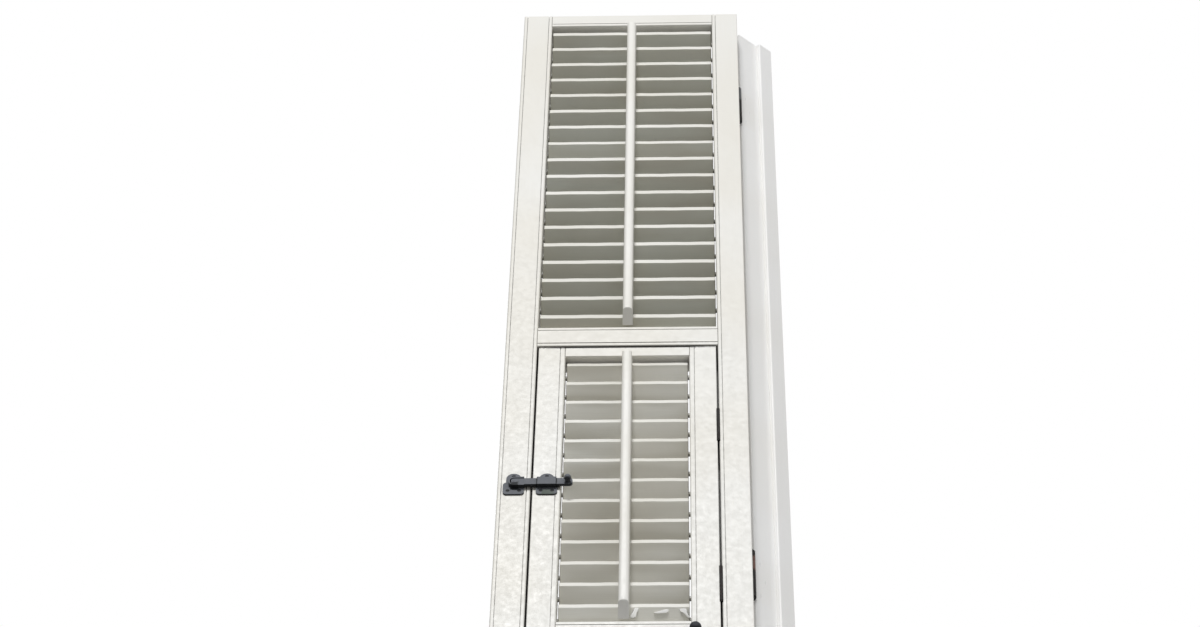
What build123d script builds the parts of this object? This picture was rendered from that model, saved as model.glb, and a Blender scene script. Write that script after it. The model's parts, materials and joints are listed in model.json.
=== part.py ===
# One leaf of louvred window shutters, hung on its hinge post.
# The leaf is a joined timber frame: an upper bay of tilting slats, and below it a small louvred
# panel that is hung in the frame like a door. Each bay has its own tilt rod.
# Sizes are millimetres. The leaf is drawn in its own frame first: x from its free edge towards its
# hinges, y from its room face towards its weather face, z up from its bottom edge. It is then
# placed from the hinge line, and the whole part has its origin at the foot of the hinge post.
import os
from math import cos, radians, sin

from build123d import *

os.makedirs("parts", exist_ok=True)

# Leaf frame
leaf_width = 415.0
leaf_thick = 45.0
free_stile_width = 55.0
hinge_stile_width = 49.0
top_rail_height = 34.5
mid_rail_height = 49.5
bottom_rail_height = 64.0

# Inner panel
panel_thick = 38.0
panel_stile_width = 46.2
panel_top_rail_height = 23.0
panel_bottom_rail_height = 42.0
panel_side_gap = 3.1
panel_top_gap = 4.5
panel_bottom_gap = 4.0
closing_bevel = 1.5
stop_lip = 7.0
stop_gap = 0.5

# Slats
upper_slat_count = 18
upper_slat_pitch = 50.0
upper_first_drop = 32.5
upper_last_rise = 21.4
upper_tilt = 41.0
upper_end_gap = 2.0
lower_slat_count = 13
lower_slat_pitch = 48.2
lower_first_drop = 28.7
lower_last_rise = 24.7
lower_tilt = 50.0
lower_end_gap = 2.5
slipped_slat = 8
slipped_extra_tilt = 5.0
slat_chord = 54.0
slat_thick = 11.0
pivot_depth = 26.0
slat_pin_radius = 4.0
slat_pin_length = 9.0
slat_pin_clearance = 0.05
slat_pin_end_gap = 1.0
slat_rebate_height = 8.0
slat_rebate_front = 18.0

# Tilt rods and their staples
rod_width = 18.0
rod_front_width = 16.4
rod_side_depth = 18.5
rod_depth = 23.0
rod_bevel = 21.5
upper_rod_top_drop = 22.0
upper_rod_foot_gap = 1.5
lower_rod_top_drop = 8.4
lower_rod_foot_gap = 5.5
staple_notch_width = 14.0
staple_notch_height = 10.0
staple_notch_depth = 20.0
staple_reach = 6.0
rod_back_gap = 3.0
wire_radius = 0.9
slat_eye_radius = 2.6
slat_eye_thick = 1.6
slat_eye_clearance = 0.08
slat_eye_shank_width = 2.4
slat_eye_shank_length = 13.0
rod_staple_half_width = 4.0
rod_staple_thick = 2.0
rod_staple_bite = 4.0

# Joinery and mouldings
tenon_thick = 12.0
tenon_length = 30.0
tenon_shoulder = 6.0
mortise_end_gap = 1.0
mortise_side_gap = 0.1
arris_radius = 1.2
bead_radius = 2.4
quirk_width = 1.4
quirk_depth = 2.2
leaf_bead_width = 6.0
rail_bead_width = 7.0
panel_bead_width = 8.0

# Hinge post
open_angle = 130.0
post_width = 45.0
post_stop_depth = 30.0
post_stop_height = 8.0
post_stop_gap = 1.0
post_head_gap = 8.0
sill_gap = 8.0
post_bead_radius = 3.0
peg_hole_radius = 5.0
peg_hole_depth = 30.0
peg_hole_heights = (120.0, 640.0, 1150.0, 1660.0)

# Leaf hinges
hinge_gap = 3.0
hinge_length = 104.0
hinge_knuckle_radius = 4.5
hinge_axis_out = 5.0
hinge_pin_radius = 2.4
hinge_flap_width = 34.0
hinge_flap_thick = 1.6
hinge_screw_pitch = 36.0
hinge_screw_stagger = 5.0
upper_hinge_drop = 231.5
lower_hinge_rise = 260.0

# Panel hinges
panel_hinge_length = 75.0
panel_knuckle_radius = 2.5
panel_hinge_pin_radius = 1.2
panel_flap_width = 20.0
panel_flap_thick = 1.4
panel_lower_hinge_rise = 123.0
panel_upper_hinge_rise = 497.0

# Shared by both kinds of hinge
hinge_segments = 5
knuckle_gap = 0.3
knuckle_clearance = 0.4
hinge_pin_clearance = 0.05
pin_tip_thick = 2.5

# Screws
screw_head_radius = 3.4
screw_head_depth = 1.5
screw_shank_radius = 1.8
screw_length = 18.0
screw_slot_width = 0.9
screw_slot_depth = 0.7
screw_clearance = 0.05

# Sliding latch
latch_height = 421.7
latch_plate_width = 35.0
latch_plate_below = 24.5
latch_plate_shoulder = 3.0
latch_plate_above = 24.0
latch_plate_dome_radius = 12.5
latch_plate_corner = 6.0
latch_plate_thick = 2.5
latch_top_screw_rise = 17.5
latch_low_screw_drop = 16.0
latch_low_screw_spread = 9.5
keeper_centre_x = 27.0
guide_inset = 23.2
bar_height = 14.0
bar_thick = 5.5
bar_length = 101.0
bar_tip_inset = 23.0
bar_tip_radius = 5.5
bar_play = 0.3
strap_length = 32.0
strap_wall = 1.6
keeper_wall = 2.4
keeper_rise = 7.0
keeper_pocket_gap = 2.0
knob_inset = 8.0
knob_radius = 6.0
knob_neck_radius = 3.0
knob_neck_length = 2.5
knob_ball_lift = 5.0

# Pull knob on the panel and stay eye on the bottom rail
pull_knob_from_hinge_edge = 39.8
pull_knob_rise = 16.0
pull_knob_radius = 9.5
pull_knob_reach = 20.0
pull_knob_flat = 2.0
pull_base_thick = 2.0
pull_base_share = 0.75
pull_waist_share = 0.45
pull_shank_length = 11.0
eye_from_hinge_edge = 85.0
eye_rose_radius = 10.0
eye_rose_thick = 2.5
eye_neck_radius = 3.0
eye_centre_reach = 17.0
eye_outer_radius = 8.5
eye_hole_radius = 4.5
eye_height = 7.0
eye_shank_length = 18.0
shank_radius = 2.5

# Heights that follow from the sizes above, from the leaf's bottom edge
panel_bottom = bottom_rail_height + panel_bottom_gap
lower_opening_bottom = panel_bottom + panel_bottom_rail_height
lower_slats_span = (lower_slat_count - 1) * lower_slat_pitch
lower_opening_height = lower_first_drop + lower_slats_span + lower_last_rise
lower_opening_top = lower_opening_bottom + lower_opening_height
panel_top = lower_opening_top + panel_top_rail_height
mid_rail_bottom = panel_top + panel_top_gap
upper_opening_bottom = mid_rail_bottom + mid_rail_height
upper_slats_span = (upper_slat_count - 1) * upper_slat_pitch
upper_opening_height = upper_first_drop + upper_slats_span + upper_last_rise
upper_opening_top = upper_opening_bottom + upper_opening_height
leaf_height = upper_opening_top + top_rail_height
panel_height = panel_top - panel_bottom
hinge_centre_heights = (lower_hinge_rise, leaf_height - upper_hinge_drop)
panel_hinge_centre_heights = (panel_lower_hinge_rise, panel_upper_hinge_rise)

# Places across the leaf, from its free edge
hinge_stile_x = leaf_width - hinge_stile_width
panel_left = free_stile_width + panel_side_gap
panel_right = hinge_stile_x - panel_side_gap
lower_opening_left = panel_left + panel_stile_width
lower_opening_right = panel_right - panel_stile_width
upper_middle_x = (free_stile_width + hinge_stile_x) / 2
lower_middle_x = (lower_opening_left + lower_opening_right) / 2
panel_hinge_x = (panel_right + hinge_stile_x) / 2

# Hinge line and post, seen from the hinge line
post_height = sill_gap + leaf_height + post_head_gap
rebate_depth = leaf_thick + post_stop_gap
post_depth = rebate_depth + post_stop_depth
post_turn = 180.0 + open_angle
post_centre_u = -hinge_gap / 2 - post_width / 2
post_centre_v = hinge_axis_out + post_depth / 2
turn = radians(post_turn)
post_centre_x = post_centre_u * cos(turn) - post_centre_v * sin(turn)
post_centre_y = post_centre_u * sin(turn) + post_centre_v * cos(turn)
from_hinge_line = Pos(-post_centre_x, -post_centre_y, 0)
leaf_corner = Pos(-leaf_width - hinge_gap / 2, -leaf_thick - hinge_axis_out, sill_gap)
leaf_place = from_hinge_line * leaf_corner


hanging = (Align.CENTER, Align.CENTER, Align.MAX)
standing = (Align.CENTER, Align.CENTER, Align.MIN)


def block(x0, x1, y0, y1, z0, z1):
    """A plain block between two corners."""
    return Pos(x0, y0, z0) * Box(x1 - x0, y1 - y0, z1 - z0, align=(Align.MIN,) * 3)


def rod_along_x(radius, length, x, y, z):
    """A round bar along X that starts at x."""
    bar = Cylinder(radius, length, align=standing)
    return Pos(x, y, z) * Rot(0, 90, 0) * bar


def rod_towards_room(radius, length, x, y, z):
    """A round bar that starts at depth y and runs towards the room side."""
    bar = Cylinder(radius, length, align=standing)
    return Pos(x, y, z) * Rot(90, 0, 0) * bar


def moulded_section(width, depth, low_bead=0.0, high_bead=0.0):
    """A timber section, room face along y = 0, with a quirked bead at either end of that face."""
    face = Rectangle(width, depth, align=(Align.MIN, Align.MIN))
    back_corners = face.vertices().sort_by(Axis.Y)[2:]
    low_radius = bead_radius if low_bead else arris_radius
    high_radius = bead_radius if high_bead else arris_radius
    face = fillet(back_corners, arris_radius)
    face = fillet(face.vertices().sort_by_distance((0, 0, 0))[0], low_radius)
    face = fillet(face.vertices().sort_by_distance((width, 0, 0))[0], high_radius)
    quirk = Rectangle(quirk_width, quirk_depth, align=(Align.MIN, Align.MIN))
    if low_bead:
        face -= Pos(low_bead, 0) * quirk
    if high_bead:
        face -= Pos(width - high_bead - quirk_width, 0) * quirk
    return face


def stile(width, depth, height, low_bead, high_bead):
    """An upright, drawn from its own lower left corner on the room face."""
    return extrude(moulded_section(width, depth, low_bead, high_bead), height)


def rail(length, depth, height, low_bead, high_bead):
    """A cross rail with a tenon at each end, drawn from its lower left shoulder."""
    section = moulded_section(height, depth, low_bead, high_bead)
    across = Plane(origin=(0, 0, 0), x_dir=(0, 0, 1), z_dir=(-1, 0, 0))
    body = Pos(length, 0, 0) * extrude(across * section, length)
    tongue = block(
        -tenon_length, length + tenon_length,
        depth / 2 - tenon_thick / 2, depth / 2 + tenon_thick / 2,
        tenon_shoulder, height - tenon_shoulder,
    )
    return body + tongue


def mortises(depth, height_pairs, x_low, x_high):
    """Pockets in a stile for the tenons of rails that span the given heights."""
    return [
        block(
            x_low, x_high,
            depth / 2 - tenon_thick / 2 - mortise_side_gap,
            depth / 2 + tenon_thick / 2 + mortise_side_gap,
            low + tenon_shoulder - mortise_side_gap,
            high - tenon_shoulder + mortise_side_gap,
        )
        for low, high in height_pairs
    ]


def slat_heights(first, pitch, count):
    """Pivot heights, from the top slat down."""
    return [first - pitch * i for i in range(count)]


upper_first = upper_opening_top - upper_first_drop
lower_first = lower_opening_top - lower_first_drop
upper_pivots = slat_heights(upper_first, upper_slat_pitch, upper_slat_count)
lower_pivots = slat_heights(lower_first, lower_slat_pitch, lower_slat_count)


def pin_holes(x, heights):
    """Blind bores for slat pins, open at x on a stile's inner edge, both ways from it."""
    depth = slat_pin_length + slat_pin_end_gap
    radius = slat_pin_radius + slat_pin_clearance
    return [rod_along_x(radius, 2 * depth, x - depth, pivot_depth, z) for z in heights]


def slat_rebate(length, z0, z1):
    """The clearance planed behind a rail's lip, where the nearest slat shuts."""
    return block(0, length, slat_rebate_front, leaf_thick, z0, z1)


def staple_notch(middle_x, edge_height):
    """An arched notch in the underside of a rail, where the first slat's staple rises."""
    arch_radius = staple_notch_width / 2
    straight = staple_notch_height - arch_radius
    notch = block(
        middle_x - arch_radius, middle_x + arch_radius,
        -1, staple_notch_depth, edge_height - 1, edge_height + straight,
    )
    arch = rod_towards_room(arch_radius, staple_notch_depth + 1, middle_x, staple_notch_depth,
                            edge_height + straight)
    return notch + arch


def butt_hinge(length, knuckle_radius, pin_radius, axis_out, gap, flap_width, flap_thick):
    """Fixed flap, moving flap and pin of a shut butt hinge, its line on Z, its middle at z = 0.
    The flaps run into the thickness along +Y, the fixed one on the -X side."""
    step = length / hinge_segments
    flap_end = axis_out + flap_width
    flap_start = knuckle_radius + knuckle_clearance
    last = hinge_segments - 1
    flaps = []
    for side, first in ((-1, 0), (1, 1)):
        inner = side * gap / 2
        outer = side * (gap / 2 + flap_thick)
        x0, x1 = min(inner, outer), max(inner, outer)
        flap = block(x0, x1, flap_start, flap_end, -length / 2, length / 2)
        for i in range(first, hinge_segments, 2):
            low = -length / 2 + i * step
            high = low + step
            low += knuckle_gap / 2 if i > 0 else 0
            high -= knuckle_gap / 2 if i < last else 0
            flap += block(x0, x1, 0, flap_start, low, high)
            tube = Cylinder(knuckle_radius, high - low, align=standing)
            flap += Pos(0, 0, low) * tube
        flap -= Cylinder(pin_radius + hinge_pin_clearance, length + 1)
        flaps.append(flap)
    tip = Cylinder((knuckle_radius + pin_radius) / 2, pin_tip_thick)
    tip_height = length / 2 + pin_tip_thick / 2
    pin = Cylinder(pin_radius, 2 * tip_height) + [Pos(0, 0, s * tip_height) * tip for s in (-1, 1)]
    return flaps[0], flaps[1], pin


def wood_screw():
    """A countersunk screw, its head's flat on z = 0, pointing down."""
    head = Cone(screw_shank_radius, screw_head_radius, screw_head_depth, align=hanging)
    shank = Cylinder(screw_shank_radius, screw_length - screw_head_depth, align=hanging)
    slot = Box(2 * screw_head_radius, screw_slot_width, screw_slot_depth, align=hanging)
    return head + Pos(0, 0, -screw_head_depth) * shank - slot


def screw_bore():
    """The room that a wood screw takes: its head seats in the cone, its shank has clearance."""
    head = Cone(screw_shank_radius, screw_head_radius, screw_head_depth, align=hanging)
    shank = Cylinder(screw_shank_radius + screw_clearance, screw_length, align=hanging)
    return head + shank


def leaf_hinge_screw_places():
    """Screws of one shut leaf hinge: places on the fixed flap's face, heads towards the leaf."""
    middle = hinge_axis_out + hinge_flap_width / 2
    rows = [(i * hinge_screw_pitch, hinge_screw_stagger * (1 - 2 * abs(i))) for i in (-1, 0, 1)]
    return [Pos(-hinge_gap / 2, middle + shift, z) * Rot(0, 90, 0) for z, shift in rows]


hinge_places_z = [sill_gap + h for h in hinge_centre_heights]
post_frame = from_hinge_line * Rot(0, 0, post_turn)
leaf_frame = from_hinge_line * Rot(0, 0, 180)


def hinge_post():
    """The rebated post that the leaf hangs on, with a stop that the leaf shuts against."""
    face = -hinge_gap / 2
    wall_face = face - post_width
    stop_tip = face + post_stop_height
    front = hinge_axis_out
    stop_front = front + rebate_depth
    back = front + post_depth
    half = hinge_length / 2
    post = block(wall_face, face, front, back, 0, post_height)
    post += block(face, stop_tip, stop_front, back, 0, post_height)
    uprights = post.edges().filter_by(Axis.Z)
    post = fillet(uprights.sort_by_distance((stop_tip, stop_front, 0))[0], post_bead_radius)
    uprights = post.edges().filter_by(Axis.Z)
    post = fillet(uprights.sort_by_distance((wall_face, front, 0))[0], arris_radius)
    for z in hinge_places_z:
        post -= block(face - hinge_flap_thick, face, front, front + hinge_flap_width,
                      z - half, z + half)
        post -= [Pos(0, 0, z) * place * screw_bore() for place in leaf_hinge_screw_places()]
    for z in peg_hole_heights:
        post -= rod_along_x(peg_hole_radius, 2 * peg_hole_depth, wall_face - peg_hole_depth,
                            post_centre_v, z)
    return post_frame * post


def leaf_hinge_parts():
    """Both leaf hinges: fixed flaps, pins, moving flaps and the screws of each side."""
    fixed, moving, pin = butt_hinge(hinge_length, hinge_knuckle_radius, hinge_pin_radius,
                                    hinge_axis_out, hinge_gap, hinge_flap_width, hinge_flap_thick)
    places = leaf_hinge_screw_places()
    fixed -= [place * screw_bore() for place in places]
    mirrored = [mirror(place * screw_bore(), Plane.YZ) for place in places]
    moving -= mirrored
    fixed_screws = [place * wood_screw() for place in places]
    moving_screws = [mirror(screw, Plane.YZ) for screw in fixed_screws]
    at = [Pos(0, 0, z) for z in hinge_places_z]
    return {
        "post_hinge_flaps": [post_frame * p * fixed for p in at],
        "leaf_hinge_pins": [from_hinge_line * p * pin for p in at],
        "leaf_hinge_flaps": [leaf_frame * p * moving for p in at],
        "post_hinge_screws": [post_frame * p * s for p in at for s in fixed_screws],
        "leaf_hinge_screws": [leaf_frame * p * s for p in at for s in moving_screws],
    }


def leaf_frame_timbers():
    """The five outer timbers, in the leaf's own frame."""
    rails = ((0, bottom_rail_height), (mid_rail_bottom, upper_opening_bottom),
             (upper_opening_top, leaf_height))
    inner = hinge_stile_x - free_stile_width
    pocket = tenon_length + mortise_end_gap
    lip_back = panel_thick + stop_gap

    free = stile(free_stile_width, leaf_thick, leaf_height, leaf_bead_width, leaf_bead_width)
    free += block(free_stile_width - arris_radius, free_stile_width + stop_lip, lip_back, leaf_thick,
                  bottom_rail_height, mid_rail_bottom)
    free -= mortises(leaf_thick, rails, free_stile_width - pocket, free_stile_width)
    free -= pin_holes(free_stile_width, upper_pivots)
    free -= [keeper_place * place * screw_bore() for place in latch_screw_places]

    hinge = stile(hinge_stile_width, leaf_thick, leaf_height, leaf_bead_width, 0.0)
    hinge += block(-stop_lip, arris_radius, lip_back, leaf_thick, bottom_rail_height, mid_rail_bottom)
    hinge = Pos(hinge_stile_x, 0, 0) * hinge
    hinge -= mortises(leaf_thick, rails, hinge_stile_x, hinge_stile_x + pocket)
    hinge -= pin_holes(hinge_stile_x, upper_pivots)
    for z in hinge_centre_heights:
        hinge -= block(leaf_width - hinge_flap_thick, leaf_width, leaf_thick - hinge_flap_width,
                       leaf_thick, z - hinge_length / 2, z + hinge_length / 2)
    bores = [mirror(place * screw_bore(), Plane.YZ) for place in leaf_hinge_screw_places()]
    back_to_leaf = Pos(leaf_width + hinge_gap / 2, leaf_thick + hinge_axis_out, 0) * Rot(0, 0, 180)
    hinge -= [back_to_leaf * Pos(0, 0, z) * b for z in hinge_centre_heights for b in bores]
    hinge -= panel_hinge_cuts(1)

    top = rail(inner, leaf_thick, top_rail_height, rail_bead_width, 0.0)
    top = Pos(free_stile_width, 0, upper_opening_top) * top
    top -= staple_notch(upper_middle_x, upper_opening_top)

    mid = rail(inner, leaf_thick, mid_rail_height, rail_bead_width, rail_bead_width)
    mid -= slat_rebate(inner, mid_rail_height - slat_rebate_height, mid_rail_height)
    mid += block(0, inner, lip_back, leaf_thick, -stop_lip, arris_radius)
    mid -= [block(0, stop_lip, lip_back, leaf_thick, -stop_lip, 0),
            block(inner - stop_lip, inner, lip_back, leaf_thick, -stop_lip, 0)]
    mid = Pos(free_stile_width, 0, mid_rail_bottom) * mid

    bottom = rail(inner, leaf_thick, bottom_rail_height, 0.0, rail_bead_width)
    bottom += block(stop_lip, inner - stop_lip, lip_back, leaf_thick,
                    bottom_rail_height - arris_radius, bottom_rail_height + stop_lip)
    bottom = Pos(free_stile_width, 0, 0) * bottom
    bottom -= rod_towards_room(shank_radius, eye_shank_length, eye_x, eye_shank_length, eye_z)
    return {"free_stile": free, "hinge_stile": hinge, "top_rail": top, "mid_rail": mid,
            "bottom_rail": bottom}


def panel_hinge_cuts(side):
    """Recesses for the panel hinges: side 1 for the leaf's stile, -1 for the panel's stile."""
    start = panel_hinge_x + side * panel_side_gap / 2
    end = start + side * panel_flap_thick
    x0, x1 = min(start, end), max(start, end)
    cuts = []
    for h in panel_hinge_centre_heights:
        z = panel_bottom + h
        low, high = z - panel_hinge_length / 2, z + panel_hinge_length / 2
        cuts.append(block(x0, x1, 0, panel_flap_width, low, high))
        groove = Cylinder(panel_knuckle_radius + knuckle_clearance,
                          panel_hinge_length + 2 * pin_tip_thick + 2 * knuckle_clearance)
        cuts.append(Pos(panel_hinge_x, 0, z) * groove)
    return cuts


def panel_timbers():
    """The four timbers of the inner panel, in the leaf's own frame."""
    rails = ((0, panel_bottom_rail_height), (panel_height - panel_top_rail_height, panel_height))
    inner = lower_opening_right - lower_opening_left
    pocket = tenon_length + mortise_end_gap

    free = stile(panel_stile_width, panel_thick, panel_height, 0.0, panel_bead_width)
    wedge = Polyline((0, 0), (closing_bevel, panel_thick), (0, panel_thick), close=True)
    free -= extrude(make_face(wedge), panel_height)
    free -= mortises(panel_thick, rails, panel_stile_width - pocket, panel_stile_width)
    free = Pos(panel_left, 0, panel_bottom) * free
    free -= pin_holes(lower_opening_left, lower_pivots)
    free -= [guide_place * place * screw_bore() for place in latch_screw_places]

    hinge = stile(panel_stile_width, panel_thick, panel_height, panel_bead_width, 0.0)
    hinge -= mortises(panel_thick, rails, 0, pocket)
    hinge = Pos(lower_opening_right, 0, panel_bottom) * hinge
    hinge -= pin_holes(lower_opening_right, lower_pivots)
    hinge -= panel_hinge_cuts(-1)
    hinge -= rod_towards_room(shank_radius, pull_shank_length, pull_x, pull_shank_length, pull_z)

    top = rail(inner, panel_thick, panel_top_rail_height, 0.0, 0.0)
    top = Pos(lower_opening_left, 0, lower_opening_top) * top
    top -= staple_notch(lower_middle_x, lower_opening_top)

    bottom = rail(inner, panel_thick, panel_bottom_rail_height, 0.0, rail_bead_width)
    bottom -= slat_rebate(inner, panel_bottom_rail_height - slat_rebate_height,
                          panel_bottom_rail_height)
    bottom = Pos(lower_opening_left, 0, panel_bottom) * bottom
    return {"panel_free_stile": free, "panel_hinge_stile": hinge, "panel_top_rail": top,
            "panel_bottom_rail": bottom}


def panel_hinge_parts():
    """Both panel hinges: flaps on the leaf's stile, pins, and flaps on the panel."""
    fixed, moving, pin = butt_hinge(panel_hinge_length, panel_knuckle_radius,
                                    panel_hinge_pin_radius, 0.0, panel_side_gap,
                                    panel_flap_width, panel_flap_thick)
    at = [Pos(panel_hinge_x, 0, panel_bottom + h) * Rot(0, 180, 0)
          for h in panel_hinge_centre_heights]
    return {
        "panel_hinge_frame_flaps": [p * fixed for p in at],
        "panel_hinge_pins": [p * pin for p in at],
        "panel_hinge_panel_flaps": [p * moving for p in at],
    }


def slat(length, end_gap, tilt, extra_tilt):
    """One slat about its pivot: a round-edged board with a turned pin at each end, and the eye in
    its room edge that the tilt rod pulls. The room edge stands high by the tilt."""
    flat = slat_chord - slat_thick
    section = Rectangle(flat, slat_thick)
    section += [Pos(s * flat / 2, 0) * Circle(slat_thick / 2) for s in (-1, 1)]
    across = Plane(origin=(-length / 2, 0, 0), x_dir=(0, 1, 0), z_dir=(1, 0, 0))
    board = Rot(-tilt - extra_tilt, 0, 0) * extrude(across * section, length)
    pin_reach = end_gap + slat_pin_length
    board += rod_along_x(slat_pin_radius, pin_reach, length / 2, 0, 0)
    board += rod_along_x(slat_pin_radius, pin_reach, -length / 2 - pin_reach, 0, 0)
    reach = slat_chord / 2 + staple_reach
    half = slat_eye_thick / 2
    eye = rod_along_x(slat_eye_radius, slat_eye_thick, -half, -reach, 0)
    eye += block(-half, half, -reach, slat_eye_shank_length - reach,
                 -slat_eye_shank_width / 2, slat_eye_shank_width / 2)
    eye -= rod_along_x(wire_radius + slat_eye_clearance, slat_eye_thick, -half, -reach, 0)
    return board + Rot(-tilt, 0, 0) * eye


def bay_of_slats(name, pivots, left, right, end_gap, tilt, slipped):
    """All slats of one bay, in the leaf's own frame."""
    middle = (left + right) / 2
    length = right - left - 2 * end_gap
    plain = slat(length, end_gap, tilt, 0.0)
    odd = slat(length, end_gap, tilt, slipped_extra_tilt)
    slats = {}
    for i, z in enumerate(pivots, start=1):
        one = odd if i == slipped else plain
        slats[f"{name}_slat_{i:02d}"] = Pos(middle, pivot_depth, z) * one
    return slats


def tilt_rod(middle_x, pivots, tilt, top, foot):
    """A tilt rod with a flat back, a rounded front and a bevelled foot, and its staples."""
    reach = slat_chord / 2 + staple_reach
    eye_y = pivot_depth - reach * cos(radians(tilt))
    eye_rise = reach * sin(radians(tilt))
    back_y = eye_y - rod_back_gap
    half, front = rod_width / 2, rod_front_width / 2
    outline = [
        Line((-half, 0), (half, 0)),
        Line((half, 0), (front, -rod_side_depth)),
        ThreePointArc((front, -rod_side_depth), (0, -rod_depth), (-front, -rod_side_depth)),
        Line((-front, -rod_side_depth), (-half, 0)),
    ]
    body = extrude(make_face(Wire(outline)), top - foot)
    cut = Polyline((0, 0), (-rod_depth, 0), (-rod_depth, rod_bevel), close=True)
    side_on = Plane(origin=(-rod_width, 0, 0), x_dir=(0, 1, 0), z_dir=(1, 0, 0))
    body -= extrude(side_on * make_face(cut), 2 * rod_width)
    body = Pos(middle_x, back_y, foot) * body
    staples = []
    half_bar = rod_staple_half_width
    half_leg = rod_staple_thick / 2
    for z in [pivot + eye_rise for pivot in pivots]:
        staples.append(rod_along_x(wire_radius, 2 * half_bar, middle_x - half_bar, eye_y, z))
        for leg_x in (middle_x - half_bar, middle_x + half_bar):
            staples.append(block(leg_x - half_leg, leg_x + half_leg, back_y - rod_staple_bite,
                                 eye_y + half_leg, z - half_leg, z + half_leg))
    return body + staples


latch_screw_spots = (
    (0.0, latch_top_screw_rise),
    (-latch_low_screw_spread, -latch_low_screw_drop),
    (latch_low_screw_spread, -latch_low_screw_drop),
)
latch_screw_places = [Pos(x, -latch_plate_thick, z) * Rot(90, 0, 0) for x, z in latch_screw_spots]
keeper_place = Pos(keeper_centre_x, 0, latch_height)
guide_place = Pos(panel_left + guide_inset, 0, latch_height)
pull_x = panel_right - pull_knob_from_hinge_edge
pull_z = panel_bottom + pull_knob_rise
eye_x = leaf_width - eye_from_hinge_edge
eye_z = bottom_rail_height / 2


def latch_plate():
    """A backplate with a wide foot and a domed head, its back on y = 0, the bar's line at z = 0."""
    foot_height = latch_plate_below + latch_plate_shoulder
    foot = RectangleRounded(latch_plate_width, foot_height, latch_plate_corner)
    outline = Pos(0, latch_plate_shoulder - foot_height / 2) * foot
    dome_height = latch_plate_above - latch_plate_dome_radius
    outline += Pos(0, dome_height / 2) * Rectangle(2 * latch_plate_dome_radius, dome_height)
    outline += Pos(0, dome_height) * Circle(latch_plate_dome_radius)
    plate = extrude(Plane.XZ * outline, latch_plate_thick)
    return plate - [place * screw_bore() for place in latch_screw_places]


def latch_parts():
    """Keeper on the leaf's stile, guide on the panel's stile, and the sliding bar with its knob.
    The keeper is open to the room, so that the panel also opens with the bar shot."""
    bar_back = -latch_plate_thick - bar_play
    bar_front = bar_back - bar_thick
    slot_half = bar_height / 2 + bar_play
    into_plate = -latch_plate_thick / 2

    pocket_end = bar_tip_inset - keeper_centre_x - keeper_pocket_gap
    pocket_side = latch_plate_width / 2
    cheek = slot_half + keeper_wall
    keeper_front = -latch_plate_thick - keeper_rise
    shell = block(pocket_end + slot_half, pocket_side, keeper_front, into_plate, -cheek, cheek)
    shell += rod_towards_room(cheek, into_plate - keeper_front, pocket_end + slot_half, into_plate, 0)
    pocket = block(pocket_end + slot_half, pocket_side, keeper_front, -latch_plate_thick,
                   -slot_half, slot_half)
    pocket += rod_towards_room(slot_half, -latch_plate_thick - keeper_front,
                               pocket_end + slot_half, -latch_plate_thick, 0)
    keeper = keeper_place * (latch_plate() + (shell - pocket))

    strap_front = bar_front - bar_play - strap_wall
    strap_side = slot_half + strap_wall
    strap = block(-strap_length / 2, strap_length / 2, strap_front, into_plate,
                  -strap_side, strap_side)
    strap = fillet(strap.faces().sort_by(Axis.Y)[0].edges().filter_by(Axis.X), strap_wall / 2)
    strap -= block(-strap_length, strap_length, bar_front - bar_play, -latch_plate_thick,
                   -slot_half, slot_half)
    guide = guide_place * (latch_plate() + strap)

    knob_x = bar_tip_inset + bar_length - knob_inset
    bar = block(bar_tip_inset, bar_tip_inset + bar_length, bar_front, bar_back,
                latch_height - bar_height / 2, latch_height + bar_height / 2)
    ends = bar.edges().filter_by(Axis.Y)
    bar = fillet(ends, bar_tip_radius)
    bar -= rod_towards_room(knob_neck_radius, bar_thick, knob_x, bar_back, latch_height)

    neck_length = bar_thick + knob_neck_length
    neck = rod_towards_room(knob_neck_radius, neck_length, knob_x, bar_back, latch_height)
    ball_y = bar_front - knob_neck_length - knob_ball_lift
    knob = neck + Pos(knob_x, ball_y, latch_height) * Sphere(knob_radius)
    return {"latch_keeper": keeper, "latch_guide": guide, "latch_bar": bar, "latch_knob": knob}


def screw_sets():
    """The screws of the two latch plates."""
    return {
        "keeper_screws": [keeper_place * p * wood_screw() for p in latch_screw_places],
        "guide_screws": [guide_place * p * wood_screw() for p in latch_screw_places],
    }


def pull_knob():
    """A turned knob near the foot of the panel's hinge stile: a base, a waist and a round head."""
    r = pull_knob_radius
    waist = pull_knob_reach - 2 * r + pull_knob_flat
    base = rod_towards_room(r * pull_base_share, pull_base_thick, pull_x, 0, pull_z)
    neck = rod_towards_room(r * pull_waist_share, waist + r, pull_x, 0, pull_z)
    head = Pos(pull_x, -waist - r, pull_z) * Sphere(r)
    head -= block(pull_x - r, pull_x + r, -pull_knob_reach - r, -pull_knob_reach,
                  pull_z - r, pull_z + r)
    shank = rod_towards_room(shank_radius, pull_shank_length, pull_x, pull_shank_length, pull_z)
    return base + neck + head + shank


def stay_eye():
    """The eye on the bottom rail that a stay's pin drops into, its hole upright."""
    rose = rod_towards_room(eye_rose_radius, eye_rose_thick, eye_x, 0, eye_z)
    neck = rod_towards_room(eye_neck_radius, eye_centre_reach, eye_x, 0, eye_z)
    ring = Pos(eye_x, -eye_centre_reach, eye_z) * Cylinder(eye_outer_radius, eye_height)
    hole = Pos(eye_x, -eye_centre_reach, eye_z) * Cylinder(eye_hole_radius, 2 * eye_height)
    shank = rod_towards_room(shank_radius, eye_shank_length, eye_x, eye_shank_length, eye_z)
    return rose + neck + ring - hole + shank


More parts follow.
